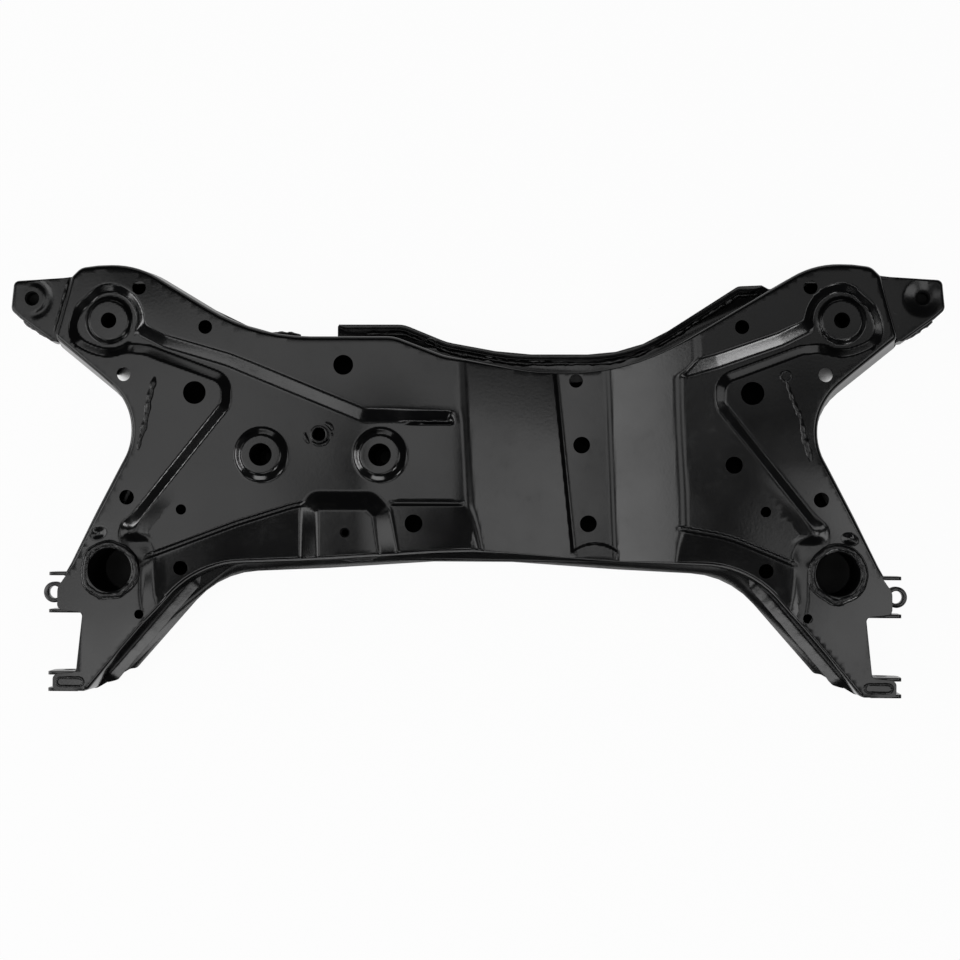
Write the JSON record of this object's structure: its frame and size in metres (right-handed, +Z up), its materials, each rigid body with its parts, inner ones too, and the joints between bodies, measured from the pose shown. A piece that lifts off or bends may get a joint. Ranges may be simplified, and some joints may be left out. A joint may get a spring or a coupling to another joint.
{
  "type": "front suspension subframe",
  "caption": "Pressed and welded steel front subframe: an X-shaped box of upper and lower shells with body sleeves, rear pads, horn brackets, rack bosses and control-arm pivots.",
  "frame": {"origin": "on the symmetry plane, on the flat underside of the lower pan, 160 mm in front of the line of the rear pads", "axes": "+X to the right across the car as the pressed side is seen, +Y to the rear of the car, +Z up to the pressed upper side"},
  "size_m": [0.9432, 0.4321, 0.078],
  "materials": {
    "black_paint": "satin"
  },
  "bodies": {
    "root": {"upper_shell": "black_paint", "lower_shell": "black_paint", "left_horn_bracket": "black_paint", "right_horn_bracket": "black_paint", "left_horn_nut": "black_paint", "right_horn_nut": "black_paint", "left_body_sleeve": "black_paint", "right_body_sleeve": "black_paint", "left_pad_spacer": "black_paint", "right_pad_spacer": "black_paint", "left_rack_spacer": "black_paint", "right_rack_spacer": "black_paint", "threaded_collar": "black_paint", "hat_nut": "black_paint", "left_pivot_bracket": "black_paint", "right_pivot_bracket": "black_paint", "left_pivot_nut": "black_paint", "right_pivot_nut": "black_paint", "left_tie_eye": "black_paint", "right_tie_eye": "black_paint", "left_ear_bracket": "black_paint", "right_ear_bracket": "black_paint", "left_gusset": "black_paint", "right_gusset": "black_paint"}
  },
  "joints": []
}
